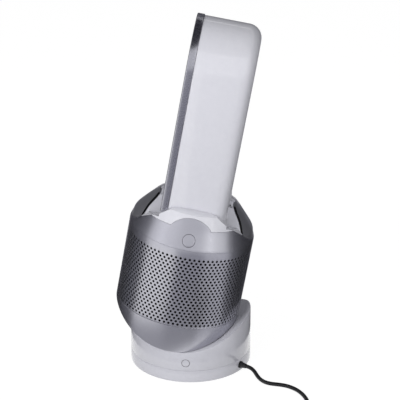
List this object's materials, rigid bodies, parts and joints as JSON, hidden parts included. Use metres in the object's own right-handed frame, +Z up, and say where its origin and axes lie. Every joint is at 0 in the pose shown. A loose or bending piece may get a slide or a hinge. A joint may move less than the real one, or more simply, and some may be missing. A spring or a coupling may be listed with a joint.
{
  "type": "air purifier fan heater",
  "caption": "Tower air purifier with a heated bladeless outlet loop, on a low base that swings, with a perforated drum, leaning body, mains cord and plug.",
  "frame": {"origin": "centre of the base's underside, on the floor", "axes": "+Z up, the machine looks along -Y, +X is to the machine's left"},
  "size_m": [0.4293, 0.3496, 0.6322],
  "materials": {
    "rubber": "matt",
    "black_plastic": "fine grained",
    "silver_gloss": "glossy metallic silver",
    "silver_satin": "satin metallic silver",
    "white_gloss": "glossy white",
    "white_nylon": "plain",
    "steel": "zinc plated",
    "steel_dark": "black",
    "grey_plastic": "plain",
    "dark_mirror": "glossy dark silver",
    "filter_paper": "pleated paper",
    "board_green": "lacquered board",
    "lens_black": "dark window",
    "motor_silver": "machined",
    "brass_pins": "bright",
    "cord_black": "smooth"
  },
  "bodies": {
    "base": {"foot_pad": "rubber", "base_plate": "grey_plastic", "base_screws": "steel", "base_ring": "silver_gloss", "swing_post": "white_nylon", "swing_wheel": "white_nylon", "swing_bearing": "white_nylon", "swing_retainer": "grey_plastic", "cord_gland": "black_plastic", "cord_stretch": "cord_black", "cord_coil": "cord_black", "coil_tie": "black_plastic", "plug": "black_plastic", "plug_pins": "brass_pins"},
    "saddle": {"saddle": "silver_gloss", "saddle_floor": "grey_plastic", "saddle_screws": "steel", "lean_guide_left": "white_nylon", "lean_guide_right": "white_nylon", "swing_motor": "motor_silver"},
    "pinion": {"swing_pinion": "white_nylon"},
    "tower": {"lean_rail_left": "grey_plastic", "lean_rail_right": "grey_plastic", "bowl": "silver_satin", "power_board": "board_green", "inlet_cage": "grey_plastic", "bell_mouth": "grey_plastic", "filter_media": "filter_paper", "filter_base_cap": "black_plastic", "filter_top_cap": "black_plastic", "filter_seal": "rubber", "sleeve": "silver_satin", "fan_motor": "motor_silver", "motor_bucket": "grey_plastic", "diffuser": "grey_plastic", "bucket_mount": "rubber", "collar": "silver_satin", "front_shield": "dark_mirror", "rear_shield": "dark_mirror", "release_spring_left": "steel", "release_spring_right": "steel", "display_lens": "lens_black", "display_board": "board_green", "power_spring": "steel", "neck": "white_gloss", "loop_shell": "white_gloss", "loop_inner": "white_gloss", "loop_band": "dark_mirror", "heater_left": "steel", "heater_right": "steel", "duct_gasket": "rubber"},
    "fan": {"impeller": "black_plastic", "fan_shaft": "steel"},
    "release_left": {"release_button_left": "silver_satin"},
    "release_right": {"release_button_right": "silver_satin"},
    "power": {"power_button": "silver_satin"}
  },
  "joints": [
    {"name": "swing", "type": "hinge", "parent": "base", "child": "saddle", "pos_m": [0, 0, 0.0232], "axis": [0, 0, 1], "range_deg": [-65, 5]},
    {"name": "pinion_spin", "type": "hinge", "parent": "saddle", "child": "pinion", "pos_m": [0, -0.0375, 0.0107], "axis": [0, 0, 1], "range_deg": [-260, 20]},
    {"name": "lean", "type": "hinge", "parent": "saddle", "child": "tower", "pos_m": [0, -0.0083, 0.236], "axis": [1, 0, 0], "range_deg": [0, 20]},
    {"name": "fan_spin", "type": "hinge", "parent": "tower", "child": "fan", "pos_m": [0, -0.0168, 0.14002], "axis": [0, 0.1736, 0.9848], "continuous": true},
    {"name": "release_left_push", "type": "slide", "parent": "tower", "child": "release_left", "axis": [1, 0, 0], "range_m": [0, 0.003], "stiffness_N_per_m": 1500, "springref_m": -0.001, "deforming": ["release_spring_left"]},
    {"name": "release_right_push", "type": "slide", "parent": "tower", "child": "release_right", "axis": [-1, 0, 0], "range_m": [0, 0.003], "stiffness_N_per_m": 1500, "springref_m": -0.001, "deforming": ["release_spring_right"]},
    {"name": "power_push", "type": "slide", "parent": "tower", "child": "power", "axis": [0, 0.9848, -0.1736], "range_m": [0, 0.001], "stiffness_N_per_m": 1500, "springref_m": -0.0005, "deforming": ["power_spring"]}
  ],
  "couplings": [
    {"joint": "pinion_spin", "follows": "swing", "ratio": 4}
  ]
}
